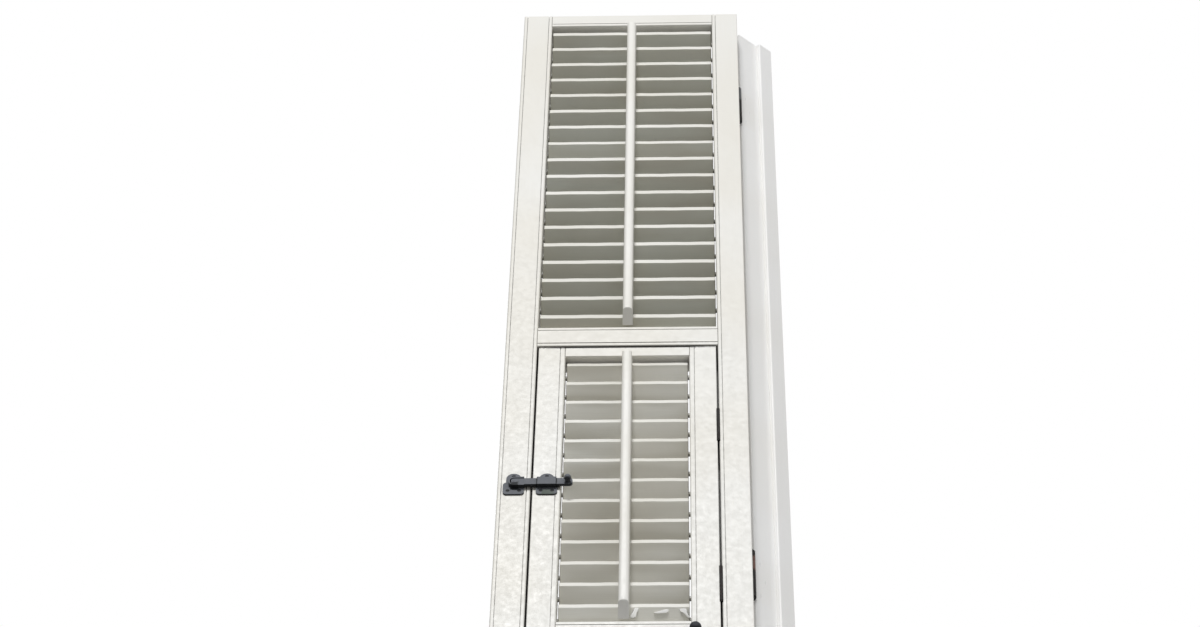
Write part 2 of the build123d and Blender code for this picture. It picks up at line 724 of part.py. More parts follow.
# Pieces drawn in the leaf's own frame, then placed from the hinge line
leaf_pieces = {}
leaf_pieces.update(leaf_frame_timbers())
leaf_pieces.update(panel_timbers())
leaf_pieces.update(panel_hinge_parts())
leaf_pieces.update(latch_parts())
leaf_pieces.update(screw_sets())
leaf_pieces["panel_pull_knob"] = pull_knob()
leaf_pieces["stay_eye"] = stay_eye()
leaf_pieces.update(bay_of_slats("upper", upper_pivots, free_stile_width, hinge_stile_x,
                                upper_end_gap, upper_tilt, slipped_slat))
leaf_pieces.update(bay_of_slats("lower", lower_pivots, lower_opening_left, lower_opening_right,
                                lower_end_gap, lower_tilt, None))
upper_rod_top = upper_opening_top - upper_rod_top_drop
upper_rod_foot = upper_opening_bottom + upper_rod_foot_gap
lower_rod_top = lower_opening_top - lower_rod_top_drop
lower_rod_foot = lower_opening_bottom + lower_rod_foot_gap
leaf_pieces["upper_tilt_rod"] = tilt_rod(upper_middle_x, upper_pivots, upper_tilt,
                                         upper_rod_top, upper_rod_foot)
leaf_pieces["lower_tilt_rod"] = tilt_rod(lower_middle_x, lower_pivots, lower_tilt,
                                         lower_rod_top, lower_rod_foot)

pieces = {"hinge_post": hinge_post()}
pieces.update(leaf_hinge_parts())
for name, piece in leaf_pieces.items():
    group = piece if isinstance(piece, list) else [piece]
    placed = [leaf_place * one for one in group]
    pieces[name] = placed if isinstance(piece, list) else placed[0]

for name, piece in pieces.items():
    shape = Compound(children=piece) if isinstance(piece, list) else piece
    export_step(shape, f"parts/{name}.step")
print(len(pieces), "nodes, leaf", leaf_width, "by", leaf_height, "by", leaf_thick)
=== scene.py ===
# Looks of a louvred shutter leaf on its hinge post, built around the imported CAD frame.
import json
import math

import bpy
import numpy as np
from mathutils import Matrix, Vector


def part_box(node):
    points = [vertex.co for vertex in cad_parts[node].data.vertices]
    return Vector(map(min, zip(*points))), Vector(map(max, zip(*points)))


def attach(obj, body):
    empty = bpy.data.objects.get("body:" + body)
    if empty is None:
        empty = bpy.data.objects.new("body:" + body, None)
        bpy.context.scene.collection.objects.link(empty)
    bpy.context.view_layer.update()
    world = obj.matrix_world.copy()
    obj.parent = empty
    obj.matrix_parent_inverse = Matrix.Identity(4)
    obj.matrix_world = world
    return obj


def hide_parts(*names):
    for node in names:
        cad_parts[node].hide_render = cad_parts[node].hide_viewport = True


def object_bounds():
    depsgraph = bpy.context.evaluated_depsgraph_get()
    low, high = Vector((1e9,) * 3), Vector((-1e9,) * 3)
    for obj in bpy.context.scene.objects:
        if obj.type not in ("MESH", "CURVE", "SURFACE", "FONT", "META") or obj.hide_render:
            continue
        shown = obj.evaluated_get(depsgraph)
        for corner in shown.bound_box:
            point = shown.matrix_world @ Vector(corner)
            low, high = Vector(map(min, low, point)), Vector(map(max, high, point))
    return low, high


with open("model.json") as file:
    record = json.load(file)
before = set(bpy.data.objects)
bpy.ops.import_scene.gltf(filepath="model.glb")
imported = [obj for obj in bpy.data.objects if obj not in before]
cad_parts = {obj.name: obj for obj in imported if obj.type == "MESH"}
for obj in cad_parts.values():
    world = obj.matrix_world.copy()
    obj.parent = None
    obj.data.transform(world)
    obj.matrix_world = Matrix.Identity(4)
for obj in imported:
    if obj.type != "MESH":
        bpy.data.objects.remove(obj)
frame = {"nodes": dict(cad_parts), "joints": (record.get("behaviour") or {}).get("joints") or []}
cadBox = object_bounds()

scene = bpy.context.scene
nodes = frame["nodes"]
joints = {joint["name"]: joint for joint in frame["joints"]}
mm = 0.001
occlusionSamples = 4
paintIor = 1.5
white = (1.0, 1.0, 1.0, 1.0)


def linear(hexText):
    # an sRGB hex colour as linear red, green, blue, alpha
    parts = np.array([int(hexText[i:i + 2], 16) for i in (1, 3, 5)]) / 255.0
    low = parts <= 0.04045
    lin = np.where(low, parts / 12.92, ((parts + 0.055) / 1.055) ** 2.4)
    return (*[float(v) for v in lin], 1.0)


def add(tree, kind, inputs=None, **settings):
    # one node with its settings, its fixed inputs, and the sockets linked into it
    node = tree.nodes.new("ShaderNode" + kind)
    for key, value in settings.items():
        setattr(node, key, value)
    for key, value in (inputs or {}).items():
        if isinstance(value, bpy.types.NodeSocket):
            tree.links.new(value, node.inputs[key])
        else:
            node.inputs[key].default_value = value
    return node


def newMaterial(name):
    material = bpy.data.materials.new(name)
    material.use_nodes = True
    tree = material.node_tree
    tree.nodes.clear()
    output = add(tree, "OutputMaterial")
    return material, tree, output


def openness(tree, reach):
    # 1 in the open, towards 0 where other surfaces lie within reach
    return add(tree, "AmbientOcclusion", {"Distance": reach},
               samples=occlusionSamples).outputs["AO"]


def noise(tree, sizes, detail=3.0, rough=0.55):
    # noise in object coordinates, whose grain is the given real size along each axis
    spot = add(tree, "TexCoord").outputs["Object"]
    place = add(tree, "Mapping", {"Vector": spot,
                                  "Scale": [1 / size for size in sizes]}).outputs[0]
    return add(tree, "TexNoise", {"Vector": place, "Scale": 1.0, "Detail": detail,
                                  "Roughness": rough}).outputs["Fac"]


def times(tree, first, second, operation="MULTIPLY"):
    return add(tree, "Math", {0: first, 1: second}, operation=operation).outputs[0]


def shadeBetween(tree, value, low, high, toLow=0.0, toHigh=1.0):
    return add(tree, "MapRange", {"Value": value, "From Min": low, "From Max": high,
                                  "To Min": toLow, "To Max": toHigh}).outputs[0]


def mixColour(tree, factor, first, second):
    node = add(tree, "Mix", {"Factor": factor}, data_type="RGBA")
    for index, value in ((6, first), (7, second)):
        if isinstance(value, bpy.types.NodeSocket):
            tree.links.new(value, node.inputs[index])
        else:
            node.inputs[index].default_value = value
    return node.outputs[2]


# Alkyd enamel on softwood, laid on by brush in many coats: a soft sheen, long brush marks
# along the timber, a slight yellowing, pale dust in the mouldings that also darkens the corners as
# painted shade, and dark brown painted shade with dirt deep in gaps.
# A fade is the level of a noise, or of openness, where it starts and where it ends, and the share
# at either end where it isn't 0 and 1.
enamel = {
    "brushWidth": 1.6 * mm,  # real bristle marks are about 0.5 mm, drawn coarser so that they show
    "brushLength": 70 * mm,
    "yellowPatch": 260 * mm,
    "specklePatch": 9 * mm,
    "yellowFade": (0.4, 0.66), "brushFade": (0.5, 0.75, 0.0, 0.4),
    "driftFade": (0.42, 0.7, 0.0, 0.7),
    "cornerReach": 6 * mm, "cornerFade": (0.7, 0.2), "cornerSpeckle": (0.3, 0.62, 0.4, 1.0),
    "gapReach": 22 * mm, "gapFade": (0.4, 0.12), "gapDirt": "#241D16",
    "roughFade": (0.3, 0.7, 0.36, 0.54),
    "speckleHeight": 0.2, "bump": 0.6,
}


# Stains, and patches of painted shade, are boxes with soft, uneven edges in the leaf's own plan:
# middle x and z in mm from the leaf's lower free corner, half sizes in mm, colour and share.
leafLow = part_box("free_stile")[0]
markEdge = {"grain": 3 * mm, "wanderFade": (0.2, 0.8, -0.25, 0.25), "soft": 0.3}


def stainsAndShade(tree, shade, marks):
    # max(|x - middle| / half x, |z - middle| / half z), plus noise, is below 1 inside the stain
    for x, z, halfX, halfZ, colour, share in marks:
        scale = (1 / (halfX * mm), 0.0, 1 / (halfZ * mm))
        middle = (leafLow.x + x * mm, 0.0, leafLow.z + z * mm)
        shift = [-a * b for a, b in zip(middle, scale)]
        spot = add(tree, "TexCoord").outputs["Object"]
        place = add(tree, "Mapping", {"Vector": spot, "Scale": scale, "Location": shift}).outputs[0]
        off = add(tree, "SeparateXYZ", {0: add(tree, "VectorMath", {0: place},
                                               operation="ABSOLUTE").outputs[0]}).outputs
        far = times(tree, off["X"], off["Z"], "MAXIMUM")
        uneven = shadeBetween(tree, noise(tree, [markEdge["grain"]] * 3),
                              *markEdge["wanderFade"])
        inside = shadeBetween(tree, times(tree, far, uneven, "ADD"), 1.0, 1.0 - markEdge["soft"],
                              0.0, share)
        shade = mixColour(tree, inside, shade, linear(colour))
    return shade


def enamelShader(tree, colour, aged, dust, along, bumpHeight, dustAndShadeShare, gapShare, drift=None,
                 marks=()):
    grain = [enamel["brushWidth"]] * 3
    grain["XYZ".index(along)] = enamel["brushLength"]
    bristles = noise(tree, grain, detail=3.0, rough=0.6)
    patch = noise(tree, [enamel["yellowPatch"]] * 3, detail=1.0)
    speckle = noise(tree, [enamel["specklePatch"]] * 3, detail=5.0, rough=0.65)
    yellowed = shadeBetween(tree, patch, *enamel["yellowFade"])
    shade = mixColour(tree, yellowed, linear(colour), linear(aged))
    brushed = shadeBetween(tree, bristles, *enamel["brushFade"])
    shade = mixColour(tree, brushed, shade, linear(aged))
    if drift:
        tone = shadeBetween(tree, noise(tree, drift, detail=1.0), *enamel["driftFade"])
        shade = mixColour(tree, tone, shade, linear(slatTones["driftTone"]))
    # dust in the corners, which also darkens them as painted shade where other surfaces lie near
    held = shadeBetween(tree, openness(tree, enamel["cornerReach"]), *enamel["cornerFade"], 0.0,
                        dustAndShadeShare)
    held = times(tree, held, shadeBetween(tree, speckle, *enamel["cornerSpeckle"]))
    shade = mixColour(tree, held, shade, linear(dust))
    # dark brown painted shade, with some dirt, deep in gaps
    deep = shadeBetween(tree, openness(tree, enamel["gapReach"]), *enamel["gapFade"], 0.0,
                        gapShare)
    shade = mixColour(tree, deep, shade, linear(enamel["gapDirt"]))
    shade = stainsAndShade(tree, shade, marks)
    rough = shadeBetween(tree, speckle, *enamel["roughFade"])
    height = times(tree, times(tree, speckle, enamel["speckleHeight"]), bristles, "ADD")
    bump = add(tree, "Bump", {"Height": height, "Distance": bumpHeight,
                              "Strength": enamel["bump"]})
    return add(tree, "BsdfPrincipled", {"Base Color": shade, "Roughness": rough,
                                        "Normal": bump.outputs[0],
                                        "IOR": paintIor}).outputs[0]


def brushedEnamel(name, colour, aged, dust, along, bumpHeight=0.12 * mm, dustAndShadeShare=0.6,
                  gapShare=0.95, marks=()):
    material, tree, output = newMaterial(name)
    surface = enamelShader(tree, colour, aged, dust, along, bumpHeight, dustAndShadeShare, gapShare, None,
                           marks)
    tree.links.new(surface, output.inputs["Surface"])
    return material


# Forged iron under old blue-black paint: dull, pitted, rubbed lighter where hands reach it, and
# painted near-black as painted shade where parts meet and on what looks down.
iron = {
    "pitSize": 1.3 * mm, "rubSize": 11 * mm, "shadowReach": 6 * mm,
    "rubFade": (0.42, 0.66), "rustFade": (0.6, 0.7), "roughFade": (0.35, 0.7, 0.54, 0.79),
    "shadowFade": (0.8, 0.3, 0.0, 0.9), "underFade": (-0.25, -0.7, 0.0, 0.9),
    "pitDepth": 0.15 * mm, "bump": 0.7, "gloss": 0.2, "grime": "#101214",
}


def ironShader(tree, colour, rubbed, rust, rustShare, marks=()):
    # painted shade: near-black where parts meet, and on what looks down
    pits = noise(tree, [iron["pitSize"]] * 3, detail=4.0)
    rub = noise(tree, [iron["rubSize"]] * 3, detail=3.0)
    worn = shadeBetween(tree, rub, *iron["rubFade"])
    shade = mixColour(tree, worn, linear(colour), linear(rubbed))
    rusted = shadeBetween(tree, pits, *iron["rustFade"], 0.0, rustShare)
    shade = mixColour(tree, rusted, shade, linear(rust))
    shade = stainsAndShade(tree, shade, marks)
    meet = shadeBetween(tree, openness(tree, iron["shadowReach"]), *iron["shadowFade"])
    shade = mixColour(tree, meet, shade, linear(iron["grime"]))
    facing = add(tree, "SeparateXYZ", {0: add(tree, "TexCoord").outputs["Normal"]}).outputs["Z"]
    under = shadeBetween(tree, facing, *iron["underFade"])
    shade = mixColour(tree, under, shade, linear(iron["grime"]))
    bump = add(tree, "Bump", {"Height": pits, "Distance": iron["pitDepth"],
                              "Strength": iron["bump"]})
    rough = shadeBetween(tree, rub, *iron["roughFade"])
    return add(tree, "BsdfPrincipled", {"Base Color": shade, "Roughness": rough, "IOR": paintIor,
                                        "Specular IOR Level": iron["gloss"],
                                        "Normal": bump.outputs[0]}).outputs[0]


def paintedIron(name, colour, rubbed, rust, rustShare=0.0, marks=()):
    material, tree, output = newMaterial(name)
    surface = ironShader(tree, colour, rubbed, rust, rustShare, marks)
    tree.links.new(surface, output.inputs["Surface"])
    return material


leafWhite, leafAged, leafDustAndShade = "#EEEDE8", "#E9E6DD", "#A39C8A"
# near-black painted shade in the open joint over the panel, a grey line of painted shade in the
# quirk above it, and the dark edge of an older keeper's place beside the keeper
panelTop = (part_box("panel_top_rail")[1].z - leafLow.z) / mm
jointShade = (210.0, panelTop + 0.8, 170.0, 3.6, "#1D1712", 0.96)
quirkShade = (210.0, panelTop + 12.2, 170.0, 1.5, "#6E685B", 0.8)
oldEdge = (6.6, 411.0, 1.0, 12.0, "#2C2B2A", 0.9)
stilePaint = brushedEnamel("Enamel on uprights", leafWhite, leafAged, leafDustAndShade, "Z",
                           marks=[oldEdge])
panelStilePaint = brushedEnamel("Enamel on the panel's uprights", leafWhite, leafAged, leafDustAndShade,
                                "Z", marks=[jointShade])
railPaint = brushedEnamel("Enamel on rails", leafWhite, leafAged, leafDustAndShade, "X")
jointRailPaint = brushedEnamel("Enamel on rails at the panel's top", leafWhite, leafAged, leafDustAndShade,
                               "X", marks=[jointShade, quirkShade])
smearPaint = brushedEnamel("Thick white smears", "#FFFFFD", "#FBFAF6", "#F0EEE8", "X")
rodPaint = brushedEnamel("Enamel on tilt rods", "#F7F6F2", "#EFEDE5", "#8B8474", "Z", 0.15 * mm)
# the post is painted whiter than the leaf as painted light, for the brighter light that falls on it
postPaint = brushedEnamel("White gloss on the post", "#FCFCFB", "#F8F7F4", "#C9C6BE", "Z",
                          0.1 * mm, 0.35, 0.5)
# near-black painted shadow in the keeper's mouth and on the bar's tip, painted shade in the seams
# at the strap's two ends, and a foot worn to grey-green
latchShadeAndWear = [
    (28.5, 413.5, 7.5, 7.5, "#0F1315", 0.95),
    (65.3, 421.7, 1.2, 10.0, "#15181B", 0.85), (97.3, 421.7, 1.2, 10.0, "#15181B", 0.85),
    (83.0, 402.0, 12.0, 7.0, "#5A6459", 0.75),
]
latchIron = paintedIron("Painted iron of the latch", "#6A6D73", "#777A80", "#4A3F36", 0.25,
                        latchShadeAndWear)
pullIron = paintedIron("Black iron of the pull knob", "#2A2B2E", "#404146", "#40362E", 0.25)
# grey paint left on the upper hinge's top knuckles and pinkish rust on the lower hinge's
hingeMarks = [(415.0, 1561.0, 40.0, 24.0, "#7A7B7C", 0.9),
              (415.0, 284.0, 40.0, 18.0, "#8B6C62", 0.9)]
bareIron = ("#1B1918", "#2A2624", "#5B3A2A", 0.6)  # its colour, rubbed, its rust and rust's share
hingeIron = paintedIron("Bare iron of the hinges", *bareIron, hingeMarks)
screwIron = paintedIron("Iron of the screws", "#26282B", "#3A3C40", "#33291F", 0.4)


# Slat paint: the flat sides are painted a dull grey-green as painted shade, darker on the upper
# slats than on the lower ones, and the planed room edge a cleaner white as a painted highlight.
# The edge is told by the resting direction of its surface: it looks towards the room and hardly
# down. The tone also drifts from slat to slat.
slatTones = {
    # flat-side tones per bay, darker on the upper slats as painted shade, then the edge's whiter
    # tones as a painted highlight
    "upper": ("#DFE0D5", "#D3D2C4"), "lower": ("#F9F8F0", "#EDEADF"),
    "edge": "#F3F2EC", "edgeAged": "#E8E6DD",
    "dust": "#827C6C", "drift": (190 * mm, 60 * mm, 34 * mm), "driftTone": "#CBC7B8",
    "edgeUpright": (-0.56, -0.46), "edgeRoomward": (-0.3, -0.5),
}


def slatShader(name, bay):
    material, tree, output = newMaterial(name)
    flat = enamelShader(tree, *slatTones[bay], slatTones["dust"], "X", 0.18 * mm, 0.6, 0.9,
                        slatTones["drift"])
    edge = enamelShader(tree, slatTones["edge"], slatTones["edgeAged"], slatTones["dust"], "X",
                        0.14 * mm, 0.3, 0.6)
    facing = add(tree, "SeparateXYZ", {0: add(tree, "TexCoord").outputs["Normal"]}).outputs
    # the mask of the painted highlight: surfaces that look towards the room and hardly down
    upright = shadeBetween(tree, facing["Z"], *slatTones["edgeUpright"])
    roomward = shadeBetween(tree, facing["Y"], *slatTones["edgeRoomward"])
    both = add(tree, "MixShader", {0: times(tree, upright, roomward), 1: flat, 2: edge}).outputs[0]
    tree.links.new(both, output.inputs["Surface"])
    return material


slatPaint = {"upper": slatShader("Enamel on the upper slats", "upper"),
             "lower": slatShader("Enamel on the lower slats", "lower")}


def paintedOverHinge(name, axis, reach, blend):
    # White gloss brushed over the let-in flap, bare iron on the knuckle: the distance from the
    # hinge line, in the plane of X and Y, decides between them over the width of the blend.
    material, tree, output = newMaterial(name)
    spot = add(tree, "TexCoord").outputs["Object"]
    off = add(tree, "VectorMath", {0: spot, 1: (axis[0], axis[1], 0.0)}, operation="SUBTRACT")
    flat = add(tree, "VectorMath", {0: off.outputs[0], 1: (1.0, 1.0, 0.0)}, operation="MULTIPLY")
    away = add(tree, "VectorMath", {0: flat.outputs[0]}, operation="LENGTH").outputs["Value"]
    share = shadeBetween(tree, away, reach, reach + blend)
    bare = ironShader(tree, *bareIron, hingeMarks)
    # the coat has the post's whiter colour, which is painted light
    coat = enamelShader(tree, "#FCFCFB", "#F5F3EE", "#C9C6BE", "Z", 0.2 * mm, 0.35, 0.5)
    both = add(tree, "MixShader", {0: share, 1: bare, 2: coat}).outputs[0]
    tree.links.new(both, output.inputs["Surface"])
    return material


hingeAxis = joints["leaf_swing"]["pos_m"]
postFlapPaint = paintedOverHinge("Gloss over the post's hinge flaps", hingeAxis, 5.0 * mm,
                                 0.5 * mm)
print("materials made")

finishes = {
    "hinge_post": postPaint,
    "free_stile": stilePaint, "hinge_stile": stilePaint,
    "panel_free_stile": panelStilePaint, "panel_hinge_stile": panelStilePaint,
    "top_rail": railPaint, "mid_rail": jointRailPaint, "bottom_rail": railPaint,
    "panel_top_rail": jointRailPaint, "panel_bottom_rail": railPaint,
    "upper_tilt_rod": rodPaint, "lower_tilt_rod": rodPaint,
    "latch_keeper": latchIron, "latch_guide": latchIron, "latch_bar": latchIron,
    "latch_knob": latchIron, "panel_pull_knob": pullIron, "stay_eye": latchIron,
    "keeper_screws": screwIron, "guide_screws": screwIron,
    "post_hinge_screws": postPaint, "leaf_hinge_screws": screwIron,
    "post_hinge_flaps": postFlapPaint, "leaf_hinge_flaps": hingeIron, "leaf_hinge_pins": hingeIron,
    "panel_hinge_frame_flaps": hingeIron, "panel_hinge_panel_flaps": hingeIron,
    "panel_hinge_pins": hingeIron,
}
for name, node in nodes.items():
    finish = finishes.get(name) or slatPaint[name.split("_")[0]]
    for place in node.material_slots:
        place.material = finish


# The shapes below are numpy surfaces: rings of points that are skinned and closed.
def capped(rings):
    # Skin over a row of rings (count, around, 3): quads from ring to ring, and a fan of triangles
    # at each end to the mean of the end ring, turned so that the enclosed volume is positive.
    count, around = rings.shape[:2]
    row, column = np.arange(count - 1)[:, None], np.arange(around)[None, :]
    here = row * around + column
    after = row * around + (column + 1) % around
    quads = np.stack([here, after, after + around, here + around], -1).reshape(-1, 4)
    points = np.concatenate([rings.reshape(-1, 3), rings[:1].mean(1), rings[-1:].mean(1)])
    edge, wrapped = np.arange(around), (np.arange(around) + 1) % around
    first, last = len(points) - 2, (count - 1) * around
    startFan = np.stack([wrapped, edge, np.full(around, first)], -1)
    endFan = np.stack([last + edge, last + wrapped, np.full(around, first + 1)], -1)
    return turnedOut(points, [quads, startFan, endFan])


def looped(rings):
    # Skin over a closed row of rings, such as a ring of wire: the last ring joins the first.
    count, around = rings.shape[:2]
    row, column = np.arange(count)[:, None], np.arange(around)[None, :]
    nextRow, nextColumn = (row + 1) % count, (column + 1) % around
    quads = np.stack([row * around + column, row * around + nextColumn,
                      nextRow * around + nextColumn, nextRow * around + column], -1)
    return turnedOut(rings.reshape(-1, 3), [quads.reshape(-1, 4)])


def turnedOut(points, groups):
    # six times the enclosed volume is the sum of the triple products of each face's first three
    # points; a negative sum means that the faces look inwards
    middle = points - points.mean(0)
    volume = 0.0
    for group in groups:
        for last in range(2, group.shape[1]):
            a, b, c = middle[group[:, 0]], middle[group[:, last - 1]], middle[group[:, last]]
            volume += np.einsum("ij,ij->i", a, np.cross(b, c)).sum()
    if volume < 0:
        groups = [group[:, ::-1] for group in groups]
    return points, groups


def makePiece(name, skins, material, body, replaced=(), sharpAbove=38.0):
    # one mesh object from several closed skins, riding on its body
    points = np.concatenate([skin[0] for skin in skins])
    faces, start = [], 0
    for skinPoints, groups in skins:
        for group in groups:
            faces += (group + start).tolist()
        start += len(skinPoints)
    mesh = bpy.data.meshes.new(name)
    mesh.from_pydata(points.tolist(), [], faces)
    mesh.polygons.foreach_set("use_smooth", np.ones(len(mesh.polygons), bool))
    mesh.set_sharp_from_angle(angle=math.radians(sharpAbove))
    mesh.materials.append(material)
    piece = bpy.data.objects.new(name, mesh)
    scene.collection.objects.link(piece)
    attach(piece, body)
    if replaced:
        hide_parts(*replaced)
    return piece


def wire(path, radius, around=8):
    # A round section carried along a path: at each point the ring stands across the path's
    # direction, its first radius across the path and the mean normal of the path's plane.
    path = np.asarray(path, float)
    ahead = np.gradient(path, axis=0)
    ahead /= np.linalg.norm(ahead, axis=1)[:, None]
    spread = np.cross(path[1:-1] - path[0], path[-1] - path[1:-1]) if len(path) > 2 else path[:0]
    plane = spread.sum(0) if len(spread) else np.zeros(3)
    if np.linalg.norm(plane) < 1e-12:  # a straight path: any direction off it will do
        plane = np.cross(ahead[0], (0.31, 0.74, 0.59))
    plane = plane / np.linalg.norm(plane)
    outward = np.cross(ahead, plane)
    outward /= np.linalg.norm(outward, axis=1)[:, None]
    angle = np.linspace(0, 2 * np.pi, around, endpoint=False)
    ring = (np.cos(angle)[None, :, None] * outward[:, None] +
            np.sin(angle)[None, :, None] * plane[None, None])
    return path[:, None] + radius * ring


def turned(profile, centre, around=40):
    # A lathe shape whose axis runs towards the room: each profile row is (reach, radius), and the
    # ring at that reach is centre + (radius cos, -reach, radius sin).
    profile = np.asarray(profile, float)
    angle = np.linspace(0, 2 * np.pi, around, endpoint=False)
    x = centre[0] + profile[:, 1:] * np.cos(angle)
    z = centre[2] + profile[:, 1:] * np.sin(angle)
    y = centre[1] - np.repeat(profile[:, :1], around, 1)
    return np.stack([x, y, z], -1)


slat = {
    # A board 11 thick: its weather edge is full-round, its room edge is planed to a slope that
    # stands nearly plumb at rest. Corners are (across the board, up through it), with the radius
    # that each is eased to.
    "halfWide": 27.0 * mm, "halfThick": 5.5 * mm,
    "noseTop": -28.4 * mm, "noseFoot": -21.6 * mm,
    "noseTopEase": 1.6 * mm, "noseFootEase": 1.4 * mm, "backEase": 0.999 * 5.5 * mm,
    "runShares": (0.04, 0.35, 0.65, 0.96),
    "endRound": 1.2 * mm, "endSteps": 5, "stations": 49, "cornerSteps": 7,
    # each wave of the room edge: its length in metres, its shift from slat to slat, its share
    "noseWave": 0.16 * mm, "waves": ((0.083, 0.37, 1.0), (0.041, 0.71, 0.6)),
    # the greatest bow and, in degrees, twist, and what each slat's number is multiplied by in the
    # sine or cosine that deals them out
    "bow": 0.4 * mm, "bowDeal": 2.4, "twist": 0.4, "twistDeal": 1.7, "lowerSeed": 0.5,
    "pinRadius": 4.0 * mm, "pinLength": 9.0 * mm, "pinInto": 4.0 * mm, "pinAround": 20,
    "eyeReach": 33.0 * mm, "eyeRing": 1.85 * mm, "eyeWire": 0.75 * mm, "eyeInto": 12.0 * mm,
    "eyeShank": 0.9 * mm, "eyeSteps": (18, 8),
}
bays = {
    "upper": {"count": 18, "tilt": 41.0, "endGap": 2.0 * mm, "slipped": 8, "slip": 5.0},
    "lower": {"count": 13, "tilt": 50.0, "endGap": 2.5 * mm, "slipped": 0, "slip": 0.0},
}


def boardSection():
    # The board's outline once around: at each corner of the polygon an arc tangent to both of its
    # sides, centred radius / sin(half the corner's angle) along the bisector, and a few points on
    # each straight run. Gives the points and their outward directions.
    back, thick = slat["halfWide"], slat["halfThick"]
    corners = np.array([(back, thick), (slat["noseTop"], thick), (slat["noseFoot"], -thick),
                        (back, -thick)])
    eases = (slat["backEase"], slat["noseTopEase"], slat["noseFootEase"], slat["backEase"])
    points, outward = [], []
    for number, (corner, ease) in enumerate(zip(corners, eases)):
        before = corners[number - 1] - corner
        after = corners[(number + 1) % len(corners)] - corner
        before, after = before / np.linalg.norm(before), after / np.linalg.norm(after)
        halfAngle = math.acos(before @ after) / 2
        bisector = (before + after) / np.linalg.norm(before + after)
        centre = corner + bisector * ease / math.sin(halfAngle)
        spread = math.pi / 2 - halfAngle
        middle = math.atan2(-bisector[1], -bisector[0])
        angle = middle + np.linspace(-spread, spread, slat["cornerSteps"])
        around = np.stack([np.cos(angle), np.sin(angle)], -1)
        points.append(centre + ease * around)
        outward.append(around)
    rows, ways = [], []
    run = np.array(slat["runShares"])[:, None]
    for number in range(len(corners)):
        start, end = points[number][-1], points[(number + 1) % len(corners)][0]
        rows += [points[number], start + (end - start) * run]
        ways += [outward[number], np.repeat(outward[number][-1:], len(run), 0)]
    return np.concatenate(rows), np.concatenate(ways)


def board(length, seed):
    # Along s and round the section: the outline, drawn in by an inset that follows a quarter
    # circle at each end. The room edge wanders by sine waves, and the board bows by a parabola and
    # twists evenly along its length.
    outline, outward = boardSection()
    cap = slat["endRound"]
    lead = cap * (1 - np.cos(np.linspace(0, np.pi / 2, slat["endSteps"])))
    middle = np.linspace(cap, length - cap, slat["stations"])[1:-1]
    along = np.concatenate([lead, middle, length - lead[::-1]])
    fromEnd = np.minimum(np.minimum(along, length - along), cap)
    inset = cap - np.sqrt(np.maximum(cap ** 2 - (cap - fromEnd) ** 2, 0))
    c = outline[:, 0] - inset[:, None] * outward[:, 0]
    r = outline[:, 1] - inset[:, None] * outward[:, 1]
    share = along / length
    wave = sum(part * np.sin(2 * np.pi * (along / span + shift * seed))
               for span, shift, part in slat["waves"])
    front = np.clip(-outline[:, 0] / slat["halfWide"], 0, 1)
    c = c + slat["noseWave"] * wave[:, None] * front
    side = math.sin(slat["bowDeal"] * seed)
    r = r + (slat["bow"] * side * (4 * share * (1 - share)))[:, None]
    most = np.radians(slat["twist"] * math.cos(slat["twistDeal"] * seed))
    turnBy = most * (share - 0.5)[:, None]
    c, r = c * np.cos(turnBy) - r * np.sin(turnBy), c * np.sin(turnBy) + r * np.cos(turnBy)
    x = np.repeat((along - length / 2)[:, None], c.shape[1], 1)
    return np.stack([x, c, r], -1)


def tilted(points, degrees, centre):
    # turned about X so that the room edge stands high, then put at its pivot
    angle = math.radians(degrees)
    x, y, z = points[..., 0], points[..., 1], points[..., 2]
    turnedY = y * math.cos(angle) + z * math.sin(angle)
    turnedZ = z * math.cos(angle) - y * math.sin(angle)
    return np.stack([x, turnedY, turnedZ], -1) + np.array(centre)


def slatSkins(length, endGap, tilt, extraTilt, centre, seed):
    skins = [capped(tilted(board(length, seed), tilt + extraTilt, centre))]
    reach = length / 2 + endGap + slat["pinLength"]
    for side in (-1, 1):
        ends = np.array([[side * (length / 2 - slat["pinInto"]), 0, 0], [side * reach, 0, 0]])
        skins.append(capped(wire(ends + np.array(centre), slat["pinRadius"], slat["pinAround"])))
    around, spot = (np.linspace(0, 2 * np.pi, count, endpoint=False) for count in slat["eyeSteps"])
    out = slat["eyeRing"] + slat["eyeWire"] * np.cos(spot)
    ring = np.stack([np.broadcast_to(slat["eyeWire"] * np.sin(spot), slat["eyeSteps"]),
                     out * np.cos(around)[:, None] - slat["eyeReach"],
                     out * np.sin(around)[:, None]], -1)
    skins.append(looped(tilted(ring, tilt, centre)))
    shank = np.array([[0, -slat["eyeReach"] + slat["eyeRing"], 0],
                      [0, -slat["eyeReach"] + slat["eyeInto"], 0]])
    skins.append(capped(tilted(wire(shank, slat["eyeShank"]), tilt, centre)))
    return skins


def pivotOf(name):
    return np.array(joints[name + "_tilt"]["pos_m"], float)


# Thick smears of white paint on the under side of the lowest slat, right of the rod: corners as
# (along the slat, from its middle line towards the room) in mm, and the slope of each smear, which
# is thickest at its low end.
smears = {
    "slope": 0.32, "rim": 0.2 * mm, "sink": 0.3 * mm, "cuts": 2,
    # the rings inwards from the rim: share of the outline, and of the height there
    "rings": ((1.0, 0.0), (0.9, 1.0), (0.6, 1.1), (0.3, 1.15)),
    "outlines": [
        [(16, 20), (24, 20.5), (23, 16), (19.5, 11), (20, 5.5), (12, 3), (8.5, 5), (11, 10),
         (15, 15)],
        [(45, 12.2), (56, 14.6), (66, 17.9), (71, 17.4), (70.5, 12.6), (61, 11.2), (52, 11)],
        [(87, 18.6), (99, 19), (100, 13), (102, 8), (106.5, 3), (101, 3.4), (97, 8.5), (93, 12.5),
         (88, 14.5)],
    ],
}


